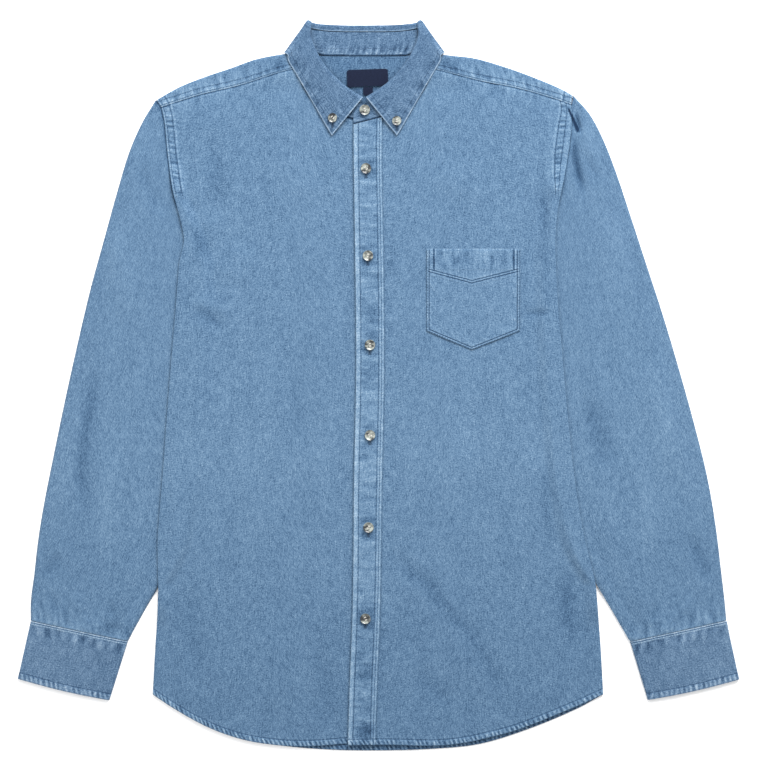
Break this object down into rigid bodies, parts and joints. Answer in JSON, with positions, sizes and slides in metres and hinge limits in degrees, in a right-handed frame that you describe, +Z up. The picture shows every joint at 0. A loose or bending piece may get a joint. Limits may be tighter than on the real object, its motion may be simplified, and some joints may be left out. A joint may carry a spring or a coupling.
{
  "type": "denim shirt",
  "caption": "Long-sleeved denim shirt with a button-down collar, front placket, chest patch pocket and curved shirt-tail hem, laid flat on its back.",
  "frame": {"origin": "middle of the laid-out shirt's outline, on the surface it lies on", "axes": "+Z up out of the chest, +Y towards the collar, +X towards the wearer's left"},
  "size_m": [0.793, 0.8022, 0.0116],
  "materials": {
    "denim": "washed mid-blue chambray-weight denim, matte with a fine pale slub",
    "denim_trim": "the same denim, doubled and topstitched, paler and puckered along its seams",
    "label_tape": "plain dark navy woven tape with a faint satin sheen",
    "horn_button": "polished mock-horn resin, cream with brown marbling"
  },
  "bodies": {
    "root": {"back": "denim", "yoke": "denim", "front_right": "denim", "front_left": "denim", "placket": "denim_trim", "pocket": "denim", "sleeve_right": "denim", "sleeve_left": "denim", "cuff_right": "denim_trim", "cuff_left": "denim_trim", "collar": "denim_trim", "collar_stand": "denim_trim", "neck_label": "label_tape", "size_tab": "label_tape", "button_1": "horn_button", "button_2": "horn_button", "button_3": "horn_button", "button_4": "horn_button", "button_5": "horn_button", "button_6": "horn_button", "button_7": "horn_button", "collar_button_right": "horn_button", "collar_button_left": "horn_button"}
  },
  "joints": []
}
